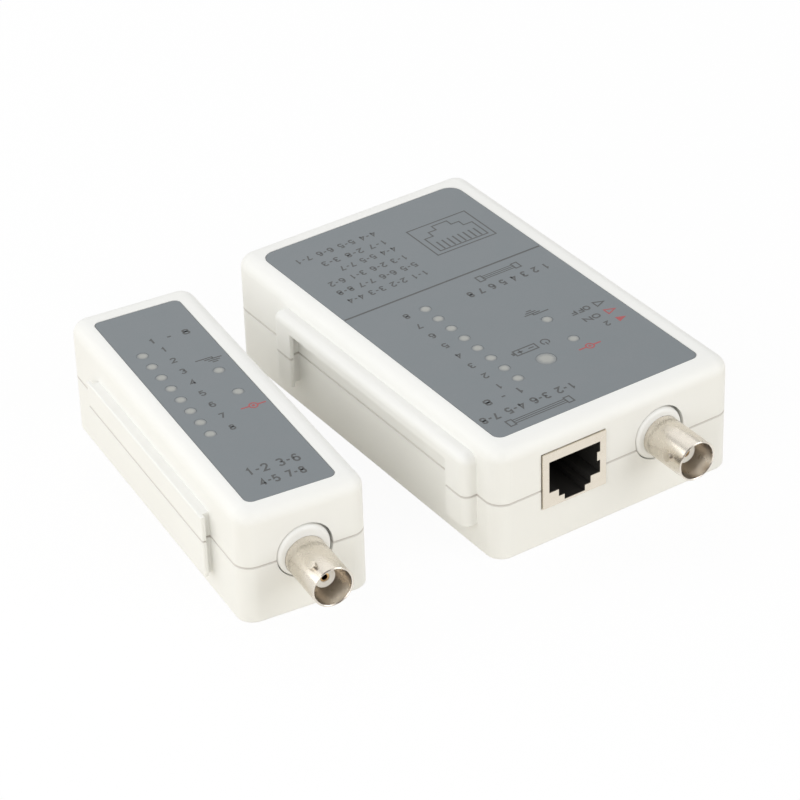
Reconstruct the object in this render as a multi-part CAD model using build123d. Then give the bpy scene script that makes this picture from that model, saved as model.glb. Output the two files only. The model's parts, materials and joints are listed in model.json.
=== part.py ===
from build123d import *
from math import radians, tan
import os

# Network cable tester: a main unit and a separate remote unit, both standing on z = 0.
# Origin: centre of the main unit's base. +Z up, +Y from the coax end ("front") to the far end.
# Each unit is modelled about its own base centre; the remote is then placed beside the main unit.
# All sizes are in millimetres.

# ---------------------------------------------------------------- cases
case_height = 28.5
parting_height = 14.35
corner_radius = 4.0
top_edge_radius = 3.5
base_edge_radius = 0.5
parting_bevel = 0.25
wall = 2.2
floor_thickness = 2.2
roof_thickness = 2.4
lip_thickness = 1.0
lip_height = 1.2
lip_clearance = 0.12

main_width = 64.4
main_length = 104.6
remote_width = 30.4
remote_length = 90.2
remote_x = -67.9
remote_y = 4.2
remote_turn = -6.64

# ---------------------------------------------------------------- docking frame and rail
dock_depth = 3.3
dock_lip = 1.0
dock_groove = 1.6
dock_near_post = 7.4
dock_far_post = 7.0
dock_bay_length = 61.7
dock_front_margin = 7.2
dock_bottom = 6.8
dock_bay_top = 21.0
dock_flange_height = 3.7
dock_corner_radius = 2.2
dock_edge_radius = 2.0
dock_inner_edge_radius = 0.4
dock_clearance = 0.4
rail_plate = 0.9
rail_lip_play = 0.5
rail_bottom = 5.2
rail_offset = -0.8
rail_edge_radius = 0.4
moulding_overlap = 1.0

# ---------------------------------------------------------------- labels
label_thickness = 0.45
label_recess = 0.5
label_clearance = 0.15
main_label_margins = (4.0, 5.6, 4.8, 5.3)      # left, right, front, far
main_label_radii = (2.0, 3.4)                  # front corners, far corners
remote_label_margins = (4.0, 5.4, 3.7, 5.7)
remote_label_radii = (1.8, 1.6)

# ---------------------------------------------------------------- circuit boards
board_thickness = 1.6
board_gap = 0.6
main_board_top = 9.6
remote_board_top = 7.3

# ---------------------------------------------------------------- indicator lamps
lamp_pitch = 5.08
lamp_count = 8
lamp_diameter = 3.0
lamp_height = 5.0
power_lamp_diameter = 5.0
power_lamp_height = 7.4
lamp_flange = 0.4
lamp_flange_height = 0.8
lamp_clearance = 0.15
lamp_window_step = 0.2
lamp_window_play = 0.05
lamp_window_sink = 0.05
lead_spacing = 2.54
lead_width = 0.5
lead_stub = 1.2
lead_hole_clearance = 0.15
main_row_x = -10.7
main_row_start = 21.5                          # lamp nearest the front, from the front face
main_power_lamp = (-1.1, 24.1)                 # x, and distance from the front face
main_ground_lamp = (8.7, 37.1)
main_coax_lamp = (8.7, 27.2)
remote_row_x = -6.9
remote_row_start = 31.0
remote_ground_lamp = (5.4, 52.8)
remote_coax_lamp = (5.4, 43.0)

# ---------------------------------------------------------------- modular jack
jack_width = 17.0
jack_height = 14.0
jack_depth = 18.5
jack_proud = 0.5
jack_skin = 0.3
jack_hole_clearance = 0.15
jack_mouth_width = 13.7
jack_mouth_height = 8.0
jack_mouth_drop = 2.25                         # top of the mouth below the top of the shield
jack_key_width = 8.6
jack_key_height = 1.8
jack_latch_width = 5.5
jack_latch_height = 1.4
jack_tab_width = 0.8
jack_tab_height = 2.2
jack_tab_drop = 2.6                            # tab below the top of the mouth
jack_cavity_depth = 12.5
contact_count = 8
contact_pitch = 1.02
contact_width = 0.45
contact_thickness = 0.6
contact_drop = 2.2
contact_setback = 2.5
main_jack_x = -11.65
remote_jack_x = 0.0

# ---------------------------------------------------------------- coax connector
coax_axis_over_board = 6.4
coax_collar_radius = 6.35
coax_collar_proud = 0.3                        # collar's face in front of the case's
coax_collar_rounding = 1.1
coax_collar_shift = -0.15                      # collar in its hole, both to the left and down
coax_hole_clearance = 0.35
coax_block_width = 14.4
coax_block_roof_gap = 2.1
coax_block_depth = 11.0
coax_block_gap = 0.3
coax_barrel_radius = 4.8
coax_bore_radius = 4.35
coax_bore_depth = 11.6
coax_tip_bevel = 0.15
coax_insulator_radius = 2.4
coax_insulator_recess = 4.0
coax_stem_bore_radius = 1.7
coax_contact_radius = 1.05
coax_contact_hole_radius = 0.7
coax_contact_hole_depth = 5.5
coax_contact_recess = 0.2
coax_fit = 0.04
coax_lug_radius = 1.0
coax_lug_height = 0.8
coax_lug_from_tip = 3.8
coax_pin_width = 0.8
main_coax_x = 12.15
main_coax_reach = 13.0                         # tip of the barrel from the front face
main_coax_hole = (-0.3, 0.65)                  # middle of the hole from the barrel's axis
main_lug_angle = 168.0
remote_coax_x = -0.3
remote_coax_reach = 13.4
remote_coax_hole = (0.1, 1.2)
remote_lug_angle = 124.0

# ---------------------------------------------------------------- power switch
switch_from_front = 31.7                       # middle position, from the front face
switch_step = 4.0
switch_positions = 3
switch_body_length = 17.8
switch_body_width = 5.6
switch_body_height = 7.2
switch_body_wall = 0.6
switch_wall_gap = 0.3
switch_knob_length = 4.0
switch_knob_height = 2.8
switch_knob_proud = 1.7
switch_slider_margin = 0.8
switch_slider_thickness = 1.4
switch_clearance = 0.3

# ---------------------------------------------------------------- battery bay
battery_length = 46.4
battery_width = 26.5
battery_height = 17.5
battery_edge_radius = 1.6
battery_side_gap = 0.9
battery_end_gap = 0.6
battery_rest_gap = 0.2
terminal_spacing = 12.7
terminal_height = 2.4
stud_radius = 2.8
socket_radius = 4.2
socket_bore_radius = 3.1
snap_thickness = 3.2
snap_length = 25.6
snap_width = 12.5
snap_gap = 0.2
lead_radius = 0.7
lead_clearance = 0.1
lead_fall = 4.6                                # way across while the lead comes down to the board
lead_lie = 6.0                                 # length that lies along the board
lead_lift = 0.5                                # height of the last bend over its rest
lead_bend_share = 0.45                         # of the shorter run beside each bend
lead_red_runs = (4.2, 1.4)                     # first run out of the snap, sideways spread at the end
lead_black_runs = (5.8, 2.4)
bay_wall_thickness = 1.4
bay_wall_top = 9.4
door_recess = 0.3
door_plate = 1.2
door_tongue = 1.2
door_tongue_overhang = 1.2
door_clearance = 0.2
door_rail_height = 1.2
door_rail_overhang = 1.0
door_side_margin = 5.7                         # case side to the edge of the opening
door_grip_count = 5
door_grip_pitch = 2.0
door_grip_width = 1.0
door_grip_length = 18.0
door_grip_depth = 0.4
door_grip_margin = 4.0
hold_rib_length = 40.0
hold_rib_spacing = 14.0
hold_rib_thickness = 1.4
hold_rib_gap = 0.3

# ---------------------------------------------------------------- case screws and posts
screw_radius = 1.35
screw_head_radius = 2.6
screw_head_height = 1.8
screw_head_seat = 2.6
screw_reach = 7.0
screw_tip_gap = 0.6
screw_slot_width = 0.9
screw_slot_length = 3.0
screw_slot_depth = 1.0
screw_hole_clearance = 0.25
screw_pilot_clearance = 0.05
screw_head_clearance = 0.3
post_radius = 3.25
post_foot_radius = 4.25
post_board_clearance = 0.2
post_joint_drop = 1.2                          # post joint below the parting line
post_joint_gap = 0.1
main_screw_side_margin = 7.7
main_screw_front = 8.2
main_screw_rear = 57.3
remote_screw_x = 6.0
remote_screw_front = 21.0
remote_screw_rear = 67.0

# ---------------------------------------------------------------- board components
chip_body_width = 6.4
chip_row_width = 7.6
chip_height = 3.3
chip_stand_off = 0.5
chip_leg_pitch = 2.54
chip_leg_width = 0.6
chip_leg_thickness = 0.3
counter_legs = 8
timer_legs = 4
counter_place = (1.5, 46.3)                    # x, and distance from the front face
timer_place = (15.5, 54.3)
capacitor_radius = 3.15
capacitor_height = 11.0
capacitor_place = (22.0, 48.3)
resistor_radius = 1.15
resistor_length = 6.0
resistor_span = 7.6
resistor_x = -16.7
diode_radius = 0.95
diode_length = 4.0
diode_span = 7.2
diode_x = -1.2
wire_width = 0.6


# ---------------------------------------------------------------- helpers
def slab(x0, x1, y0, y1, z0, z1):
    """Block between two corners."""
    block = Box(abs(x1 - x0), abs(y1 - y0), abs(z1 - z0))
    return Pos((x0 + x1) / 2, (y0 + y1) / 2, (z0 + z1) / 2) * block


def rod(x, y, z0, z1, radius):
    """Upright cylinder between two heights."""
    return Pos(x, y, (z0 + z1) / 2) * Cylinder(radius, z1 - z0)


def joined(pieces):
    """Several overlapping pieces as one solid."""
    whole = pieces[0]
    for piece in pieces[1:]:
        whole = whole + piece
    return whole


def group(pieces):
    """Several separate solids as one node."""
    return Compound(children=[solid for piece in pieces for solid in piece.solids()])


class Unit:
    """One case of the pair: plan size, board height and the places along it."""

    def __init__(self, width, length, board_top, label, row, lamps, screws):
        self.width = width
        self.length = length
        self.side = width / 2
        self.front = -length / 2
        self.far = length / 2
        self.board_top = board_top
        self.label_margins, self.label_radii = label
        row_x, row_start = row
        self.row = [(row_x, self.front + row_start + i * lamp_pitch) for i in range(lamp_count)]
        self.lamps = {name: (x, self.front + y, size) for name, (x, y), size in lamps}
        self.screws = screws

    def lamp_places(self):
        """Every lamp as x, y and diameter."""
        return [(x, y, lamp_diameter) for x, y in self.row] + list(self.lamps.values())


def make_main():
    front = -main_length / 2
    screw_x = main_width / 2 - main_screw_side_margin
    screws = [(x, front + y) for x in (-screw_x, screw_x) for y in (main_screw_front, main_screw_rear)]
    lamps = [("power", main_power_lamp, power_lamp_diameter),
             ("ground", main_ground_lamp, lamp_diameter),
             ("coax", main_coax_lamp, lamp_diameter)]
    row = (main_row_x, main_row_start)
    panel = (main_label_margins, main_label_radii)
    return Unit(main_width, main_length, main_board_top, panel, row, lamps, screws)


def make_remote():
    front = -remote_length / 2
    screws = [(remote_screw_x, front + y) for y in (remote_screw_front, remote_screw_rear)]
    lamps = [("ground", remote_ground_lamp, lamp_diameter), ("coax", remote_coax_lamp, lamp_diameter)]
    row = (remote_row_x, remote_row_start)
    panel = (remote_label_margins, remote_label_radii)
    return Unit(remote_width, remote_length, remote_board_top, panel, row, lamps, screws)


main = make_main()
remote = make_remote()


# ---------------------------------------------------------------- case blanks
def case_blank(unit):
    """Solid outer form: rounded block, soft top edge, nearly sharp base edge."""
    block = extrude(RectangleRounded(unit.width, unit.length, corner_radius), case_height)
    block = fillet(block.edges().group_by(Axis.Z)[-1], top_edge_radius)
    return fillet(block.edges().group_by(Axis.Z)[0], base_edge_radius)


def cavity(unit, margin=0.0):
    """Plan of the hollow, grown by a margin."""
    radius = corner_radius - wall + margin
    return RectangleRounded(unit.width - 2 * (wall - margin), unit.length - 2 * (wall - margin), radius)


dock_near = main.front + dock_front_margin
dock_bay_near = dock_near + dock_near_post
dock_bay_far = dock_bay_near + dock_bay_length
dock_far = dock_bay_far + dock_far_post
dock_top = dock_bay_top + dock_flange_height


def dock_face_edges(arch):
    """Edges of the frame's outer face, without the cut-off feet: round the outside, and round the bay."""
    slack = moulding_overlap / 10
    outside, bay = [], []
    for edge in arch.faces().sort_by(Axis.X)[0].outer_wire().edges():
        middle = edge.center()
        along = dock_bay_near - slack <= middle.Y <= dock_bay_far + slack
        if middle.Z > dock_bottom + slack:
            (bay if along and middle.Z < dock_bay_top + slack else outside).append(edge)
    return outside, bay


def dock_frame():
    """Arch on the main unit's left side: a flange on two posts, open at the bottom, with grooves
    behind the posts' inner lips."""
    face = -main.side - dock_depth
    root = -main.side + moulding_overlap
    arch = slab(face, root, dock_near, dock_far, dock_bottom, dock_top)
    arch -= slab(face - 1, root + 1, dock_bay_near, dock_bay_far, dock_bottom - 1, dock_bay_top)
    corners = arch.edges().filter_by(Axis.X).group_by(Axis.Z)[-1]
    arch = fillet(corners, dock_corner_radius)
    arch = fillet(dock_face_edges(arch)[0], dock_edge_radius)
    arch = fillet(dock_face_edges(arch)[1], dock_inner_edge_radius)
    grooves = slab(face + dock_lip, -main.side, dock_bay_near - dock_groove, dock_bay_far + dock_groove,
                   dock_bottom - 1, dock_bay_top)
    return arch - grooves


def dock_rail():
    """T-shaped rail on the remote's left side: a plate that stands off the wall on a shorter web."""
    gap = dock_lip + rail_lip_play
    half = dock_bay_length / 2 - dock_clearance
    near, far = rail_offset - half, rail_offset + half
    top = dock_bay_top - dock_clearance
    overhang = dock_groove - dock_clearance / 2
    plate = slab(-remote.side - gap - rail_plate, -remote.side - gap, near, far, rail_bottom, top)
    plate = fillet(plate.faces().sort_by(Axis.X)[0].edges(), rail_edge_radius)
    web = slab(-remote.side - gap - rail_plate / 2, -remote.side + moulding_overlap,
               near + overhang, far - overhang, rail_bottom, top)
    return plate + web


# ---------------------------------------------------------------- jack and coax places
def jack_box(unit, x, margin=0.0):
    """Space of the jack at a unit's front face, as slab corners."""
    y0 = unit.front - jack_proud
    return (x - jack_width / 2 - margin, x + jack_width / 2 + margin, y0, y0 + jack_depth,
            unit.board_top - margin, unit.board_top + jack_height + margin)


def half_turn(shape):
    """The same shape at the far end of its unit."""
    return Rot(0, 0, 180) * shape


def coax_place(unit, x):
    """Frame on the front face whose +Z points out of the case along the connector's axis."""
    return Pos(x, unit.front, unit.board_top + coax_axis_over_board) * Rot(90, 0, 0)


def coax_hole(unit, x, offset):
    """Hole for the collar, with its middle at an offset from the barrel's axis."""
    drill = Cylinder(coax_collar_radius + coax_hole_clearance, 4 * wall)
    return coax_place(unit, x) * Pos(*offset, 0) * drill


# ---------------------------------------------------------------- shells
def post_joint():
    return parting_height - post_joint_drop


def screw_posts_lower(unit):
    """Stepped posts under each screw: the wide foot carries the board, the neck passes through it."""
    posts = []
    board_bottom = unit.board_top - board_thickness
    for x, y in unit.screws:
        posts.append(rod(x, y, floor_thickness / 2, board_bottom, post_foot_radius))
        posts.append(rod(x, y, floor_thickness / 2, post_joint(), post_radius))
    return joined(posts)


def screw_holes_lower(unit):
    holes = []
    for x, y in unit.screws:
        holes.append(rod(x, y, -1, screw_head_seat, screw_head_radius + screw_head_clearance))
        holes.append(rod(x, y, -1, case_height / 2 + 1, screw_radius + screw_hole_clearance))
    return joined(holes)


def screw_posts_upper(unit):
    posts = []
    for x, y in unit.screws:
        posts.append(rod(x, y, post_joint() + post_joint_gap, case_height - roof_thickness / 2, post_radius))
    return joined(posts)


def screw_pilots(unit):
    pilots = []
    for x, y in unit.screws:
        top = post_joint() + screw_reach + screw_tip_gap
        pilots.append(rod(x, y, post_joint() - 1, top, screw_radius + screw_pilot_clearance))
    return joined(pilots)


def within_cavity(unit, shape, z0, z1):
    """The part of a shape that lies inside the case's outer wall line."""
    limit = Pos(0, 0, z0) * extrude(cavity(unit, wall / 2), z1 - z0)
    return shape & limit


def label_plan(unit, margin=0.0):
    """Plan of the label, with its own radius at the front and far corners, grown by a margin."""
    left, right, near, far = unit.label_margins
    near_radius, far_radius = unit.label_radii
    plan = Rectangle(unit.width - left - right + 2 * margin, unit.length - near - far + 2 * margin)
    corners = plan.vertices().group_by(Axis.Y)
    plan = fillet(corners[0], near_radius + margin)
    plan = fillet(plan.vertices().group_by(Axis.Y)[-1], far_radius + margin)
    return Pos((left - right) / 2, (near - far) / 2) * plan


def lamp_holes(unit, z0, z1, margin):
    """Holes on every lamp's axis, wider than the lamp by a margin."""
    return joined([rod(x, y, z0, z1, size / 2 + margin) for x, y, size in unit.lamp_places()])


def bottom_shell(unit, blank, cuts, extras=()):
    """Lower half: floor, walls, alignment lip and screw posts."""
    shell = split(blank, Plane.XY.offset(parting_height), keep=Keep.BOTTOM)
    shell = chamfer(shell.edges().group_by(Axis.Z)[-1], parting_bevel)
    shell -= Pos(0, 0, floor_thickness) * extrude(cavity(unit), case_height)
    lip = extrude(cavity(unit, lip_thickness), lip_height + wall) - extrude(cavity(unit), lip_height + wall)
    shell += Pos(0, 0, parting_height - wall) * lip
    shell += within_cavity(unit, screw_posts_lower(unit), floor_thickness / 4, case_height)
    for extra in extras:
        shell += extra
    shell -= screw_holes_lower(unit)
    for cut in cuts:
        shell -= cut
    return shell


def top_shell(unit, blank, cuts, extras=()):
    """Upper half: roof with the label's seat and lamp holes, walls, lip groove and screw posts."""
    shell = split(blank, Plane.XY.offset(parting_height), keep=Keep.TOP)
    shell = chamfer(shell.edges().group_by(Axis.Z)[0], parting_bevel)
    roof_underside = case_height - roof_thickness
    shell -= extrude(cavity(unit), roof_underside)
    groove_height = parting_height + lip_height + lip_clearance
    shell -= extrude(cavity(unit, lip_thickness + lip_clearance), groove_height)
    shell += within_cavity(unit, screw_posts_upper(unit), 0, case_height - roof_thickness / 4)
    for extra in extras:
        shell += extra
    shell -= Pos(0, 0, case_height - label_recess) * extrude(label_plan(unit, label_clearance), 1)
    shell -= lamp_holes(unit, roof_underside - 1, case_height + 1, lamp_clearance)
    shell -= screw_pilots(unit)
    for cut in cuts:
        shell -= cut
    return shell


def label(unit):
    """Printed front sheet, pierced for the lamps' windows."""
    sheet = Pos(0, 0, case_height - label_recess) * extrude(label_plan(unit), label_thickness)
    return sheet - lamp_holes(unit, case_height - 1, case_height + 1, lamp_window_play - lamp_window_step)


# ---------------------------------------------------------------- lamps
lamp_top = case_height - label_recess + label_thickness - lamp_window_sink


def lamp(x, y, diameter):
    """Indicator lamp: flange with a flat, round body, and a narrower flat window in the label."""
    height = power_lamp_height if diameter == power_lamp_diameter else lamp_height
    radius = diameter / 2
    base = lamp_top - height
    flange = rod(x, y, base, base + lamp_flange_height, radius + lamp_flange)
    flange -= slab(x + radius, x + diameter, y - diameter, y + diameter, base - 1, base + 1 + lamp_flange_height)
    body = rod(x, y, base, case_height - label_recess - lamp_window_play, radius)
    window = rod(x, y, base, lamp_top, radius - lamp_window_step)
    return joined([flange, body, window])


def lamp_leads(unit):
    """Two square leads from each lamp down through the board."""
    leads = []
    half = lead_width / 2
    for x, y, size in unit.lamp_places():
        height = power_lamp_height if size == power_lamp_diameter else lamp_height
        top = lamp_top - height
        for offset in (-lead_spacing / 2, lead_spacing / 2):
            leads.append(slab(x + offset - half, x + offset + half, y - half, y + half,
                              unit.board_top - board_thickness - lead_stub, top))
    return group(leads)


def lead_holes(unit):
    holes = []
    radius = lead_width * 2 ** 0.5 / 2 + lead_hole_clearance
    for x, y, size in unit.lamp_places():
        for offset in (-lead_spacing / 2, lead_spacing / 2):
            holes.append(rod(x + offset, y, 0, case_height / 2, radius))
    return holes


# ---------------------------------------------------------------- boards
def board(unit, far_edge):
    """Circuit board between the front wall and a far edge, holed for the posts and the lamp leads."""
    half = unit.side - wall - board_gap
    plate = slab(-half, half, unit.front + wall + board_gap, far_edge,
                 unit.board_top - board_thickness, unit.board_top)
    for x, y in unit.screws:
        plate -= rod(x, y, 0, case_height, post_radius + post_board_clearance)
    for hole in lead_holes(unit):
        plate -= hole
    return plate


# ---------------------------------------------------------------- modular jack
def jack_mouth(unit, x, depth):
    """Stepped opening of the jack: the plug's space, the key and the latch way below it."""
    y0 = unit.front - jack_proud - 1
    y1 = unit.front - jack_proud + depth
    top = unit.board_top + jack_height - jack_mouth_drop
    steps = ((jack_mouth_width, jack_mouth_height),
             (jack_key_width, jack_mouth_height + jack_key_height),
             (jack_latch_width, jack_mouth_height + jack_key_height + jack_latch_height))
    return joined([slab(x - w / 2, x + w / 2, y0, y1, top - h, top) for w, h in steps])


def jack_shield(unit, x):
    """Folded metal skin round the jack, open at the mouth, with a small tab at the mouth's right."""
    skin = slab(*jack_box(unit, x)) - slab(*jack_box_inner(unit, x))
    skin -= jack_mouth(unit, x, 2 * jack_skin)
    edge = x + jack_mouth_width / 2
    front = unit.front - jack_proud
    top = unit.board_top + jack_height - jack_mouth_drop - jack_tab_drop
    return skin + slab(edge - jack_tab_width, edge + jack_skin, front, front + jack_skin,
                       top - jack_tab_height, top)


def jack_box_inner(unit, x):
    x0, x1, y0, y1, z0, z1 = jack_box(unit, x)
    return x0 + jack_skin, x1 - jack_skin, y0 + jack_skin, y1 - jack_skin, z0 + jack_skin, z1 - jack_skin


def jack_housing(unit, x):
    """Moulded insulator that fills the shield, with the plug's cavity."""
    return slab(*jack_box_inner(unit, x)) - jack_mouth(unit, x, jack_cavity_depth)


def jack_contacts(unit, x):
    """Spring wires that slope from the cavity's roof down to its back wall."""
    near = unit.front - jack_proud + contact_setback
    back = unit.front - jack_proud + jack_cavity_depth
    top = unit.board_top + jack_height - jack_mouth_drop
    outline = Polyline((near, top), (near + 2 * contact_thickness, top), (back, top - contact_drop),
                       (back, top - contact_drop - contact_thickness), close=True)
    wire = extrude(Plane.YZ * make_face(outline), contact_width)
    first = x - contact_pitch * (contact_count - 1) / 2 - contact_width / 2
    return group([Pos(first + i * contact_pitch, 0, 0) * wire for i in range(contact_count)])


# ---------------------------------------------------------------- coax connector
# Built in the frame of coax_place: z = 0 on the case's front face, +Z outwards, +Y up.
coax_block_front = -wall - coax_block_gap
coax_block_rear = coax_block_front - coax_block_depth


def coax_housing(unit, offset):
    """White moulded block from the board nearly to the roof, with the collar that fills the hole."""
    top = case_height - roof_thickness - coax_block_roof_gap - unit.board_top - coax_axis_over_board
    block = slab(-coax_block_width / 2, coax_block_width / 2, -coax_axis_over_board, top,
                 coax_block_rear, coax_block_front)
    collar = rod(offset[0] + coax_collar_shift, offset[1] + coax_collar_shift,
                 coax_block_front, coax_collar_proud, coax_collar_radius)
    collar = fillet(collar.edges().group_by(Axis.Z)[-1], coax_collar_rounding)
    return block + collar - rod(0, 0, coax_block_rear - 1, coax_collar_proud + 1,
                                coax_barrel_radius + coax_fit)


def coax_shell(reach, lug_angle):
    """Turned metal tube through the block, bored from its tip, with two bayonet lugs."""
    body = rod(0, 0, coax_block_rear, reach, coax_barrel_radius)
    body -= rod(0, 0, reach - coax_bore_depth, reach + 1, coax_bore_radius)
    body = chamfer(body.edges().group_by(Axis.Z)[-1], coax_tip_bevel)
    body -= rod(0, 0, coax_block_rear - 1, reach, coax_stem_bore_radius)
    for angle in (lug_angle, lug_angle + 180):
        lug = Pos((coax_bore_radius + coax_barrel_radius) / 2, 0, 0) * Rot(0, 90, 0) * Cylinder(
            coax_lug_radius, lug_length(), align=(Align.CENTER, Align.CENTER, Align.MIN))
        body += Pos(0, 0, reach - coax_lug_from_tip) * Rot(0, 0, angle) * lug
    return body


def lug_length():
    """From the middle of the barrel's wall to the top of the lug."""
    return (coax_barrel_radius - coax_bore_radius) / 2 + coax_lug_height


def coax_insulator(reach):
    """White insulator: a thick nose inside the barrel on a thin tail through the stem."""
    nose = rod(0, 0, reach - coax_bore_depth, reach - coax_insulator_recess, coax_insulator_radius)
    tail = rod(0, 0, coax_block_rear, reach - coax_insulator_recess, coax_stem_bore_radius - coax_fit)
    return nose + tail - rod(0, 0, coax_block_rear - 1, reach, coax_contact_radius + coax_fit)


def coax_contact(reach):
    """Centre contact: a socket at the front and a square pin down to the board behind the block."""
    tip = reach - coax_insulator_recess - coax_contact_recess
    half = coax_pin_width / 2
    rear = coax_block_rear - 2 * coax_pin_width
    barrel = rod(0, 0, rear, tip, coax_contact_radius)
    barrel -= rod(0, 0, tip - coax_contact_hole_depth, tip + 1, coax_contact_hole_radius)
    return barrel + slab(-half, half, -coax_axis_over_board, 0, rear, rear + coax_pin_width)


# ---------------------------------------------------------------- power switch
switch_y = main.front + switch_from_front
switch_body_right = main.side - wall - switch_wall_gap
switch_body_left = switch_body_right - switch_body_width
switch_axis = main.board_top + switch_body_height / 2
switch_travel = switch_step * (switch_positions - 1)
switch_rest_y = switch_y + switch_travel / 2   # the knob rests at the far end of its travel


def switch_slot_half():
    return (switch_travel + switch_knob_length) / 2 + switch_clearance


def switch_slot():
    """Slot in the case's right wall for the knob."""
    half_height = switch_knob_height / 2 + switch_clearance
    return slab(main.side - 2 * wall, main.side + 1, switch_y - switch_slot_half(),
                switch_y + switch_slot_half(), switch_axis - half_height, switch_axis + half_height)


def switch_body():
    """Hollow switch case on the board, with a window for the knob's stem."""
    z0, z1 = main.board_top, main.board_top + switch_body_height
    y0, y1 = switch_y - switch_body_length / 2, switch_y + switch_body_length / 2
    t = switch_body_wall
    case = slab(switch_body_left, switch_body_right, y0, y1, z0, z1)
    case -= slab(switch_body_left + t, switch_body_right - t, y0 + t, y1 - t, z0 + t, z1 - t)
    half_height = switch_knob_height / 2 + switch_clearance
    return case - slab(switch_body_right - 2 * t, switch_body_right + 1, switch_y - switch_slot_half(),
                       switch_y + switch_slot_half(), switch_axis - half_height, switch_axis + half_height)


def switch_knob():
    """Knob: a stem through the window and slot, on a slider that stays behind the window."""
    inner = switch_body_right - switch_body_wall - switch_clearance
    half = switch_knob_length / 2
    half_height = switch_knob_height / 2
    stem = slab(inner - switch_slider_thickness, main.side + switch_knob_proud, switch_rest_y - half,
                switch_rest_y + half, switch_axis - half_height, switch_axis + half_height)
    stem = fillet(stem.faces().sort_by(Axis.X)[-1].edges(), switch_clearance)
    margin = switch_slider_margin
    slider = slab(inner - switch_slider_thickness, inner, switch_rest_y - half - margin,
                  switch_rest_y + half + margin, switch_axis - half_height - margin,
                  switch_axis + half_height + margin)
    return stem + slider


# ---------------------------------------------------------------- battery bay
battery_y = main.far - wall - battery_side_gap - battery_width / 2
bay_wall_far = battery_y - battery_width / 2 - battery_side_gap
bay_wall_near = bay_wall_far - bay_wall_thickness
main_board_far = bay_wall_near - board_gap
door_half = main.side - door_side_margin
door_near = bay_wall_far + door_clearance
door_top = door_recess + door_plate + door_tongue
door_rail_bottom = door_top + door_clearance
door_rail_top = door_rail_bottom + door_rail_height
battery_bottom = door_top + battery_rest_gap
battery_mid = battery_bottom + battery_height / 2
battery_right = door_half - door_rail_overhang - battery_end_gap
battery_left = battery_right - battery_length
terminal_tip = battery_left - terminal_height
snap_right = terminal_tip - snap_gap
snap_left = snap_right - snap_thickness


def door_opening():
    """T-shaped way for the door, open at the far end."""
    tongue_half = door_half + door_tongue_overhang
    tongue_bottom = door_recess + door_plate - door_clearance
    mouth = slab(-door_half, door_half, bay_wall_far, main.far + 1, -1, door_rail_bottom)
    grooves = slab(-tongue_half, tongue_half, bay_wall_far, main.far + 1, tongue_bottom, door_rail_bottom)
    return mouth + grooves


def door_rails():
    """Thick edges of the floor beside the opening, with ledges over the door's tongues."""
    near = bay_wall_near
    inner = door_half - door_rail_overhang
    rails = []
    for sign in (-1, 1):
        rails.append(slab(sign * inner, sign * (main.side - wall / 2), near, main.far - wall / 2,
                          floor_thickness / 4, door_rail_top))
    return joined(rails)


def bay_wall():
    """Low wall between the board and the battery."""
    half = main.side - wall / 2
    return slab(-half, half, bay_wall_near, bay_wall_far, floor_thickness / 2, bay_wall_top)


def hold_ribs():
    """Ribs under the roof that keep the battery down."""
    bottom = battery_bottom + battery_height + hold_rib_gap
    ribs = []
    for offset in (-hold_rib_spacing / 2, hold_rib_spacing / 2):
        y = battery_y + offset
        ribs.append(slab(-hold_rib_length / 2, hold_rib_length / 2, y - hold_rib_thickness / 2,
                         y + hold_rib_thickness / 2, bottom, case_height - roof_thickness / 2))
    return joined(ribs)


def battery_door():
    """Sliding door: outer plate, wider tongue plate above it, grip grooves near the end."""
    half = door_half - door_clearance
    tongue_half = half + door_tongue_overhang
    mid = door_recess + door_plate
    plate = slab(-half, half, door_near, main.far, door_recess, mid)
    tongue = slab(-tongue_half, tongue_half, door_near, main.far, mid, door_top)
    door = plate + tongue
    for i in range(door_grip_count):
        y = main.far - door_grip_margin - i * door_grip_pitch
        door -= slab(-door_grip_length / 2, door_grip_length / 2, y - door_grip_width / 2,
                     y + door_grip_width / 2, 0, door_recess + door_grip_depth)
    return door


def across(x0, x1, y, radius):
    """Cylinder along X at the battery's mid height."""
    return Pos((x0 + x1) / 2, y, battery_mid) * Rot(0, 90, 0) * Cylinder(radius, abs(x1 - x0))


def battery():
    """Nine-volt block with its stud and its socket at the left end."""
    body = slab(battery_left, battery_right, battery_y - battery_width / 2, battery_y + battery_width / 2,
                battery_bottom, battery_bottom + battery_height)
    body = fillet(body.edges().filter_by(Axis.X), battery_edge_radius)
    stud_y = battery_y + terminal_spacing / 2
    socket_y = battery_y - terminal_spacing / 2
    body += across(terminal_tip, battery_left + 1, stud_y, stud_radius)
    body += across(terminal_tip, battery_left + 1, socket_y, socket_radius)
    return body - across(terminal_tip - 1, battery_left, socket_y, socket_bore_radius)


def battery_snap():
    """Snap-on cap: a plate with a ring round the battery's stud and a stud in its socket."""
    plate = slab(snap_left, snap_right, battery_y - snap_length / 2, battery_y + snap_length / 2,
                 battery_mid - snap_width / 2, battery_mid + snap_width / 2)
    plate = fillet(plate.edges().filter_by(Axis.X), battery_edge_radius)
    stud_y = battery_y + terminal_spacing / 2
    socket_y = battery_y - terminal_spacing / 2
    reach = battery_left - snap_gap
    ring = across(snap_right - 1, reach, stud_y, socket_radius)
    ring -= across(snap_right, reach + 1, stud_y, stud_radius + snap_gap)
    stud = across(snap_right - 1, reach, socket_y, stud_radius)
    return joined([plate, ring, stud])


snap_edge = battery_y - snap_length / 2
lead_rest = main.board_top + lead_radius + lead_clearance
lead_red_x = snap_right - snap_thickness / 4
lead_black_x = snap_left + snap_thickness / 4


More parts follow.
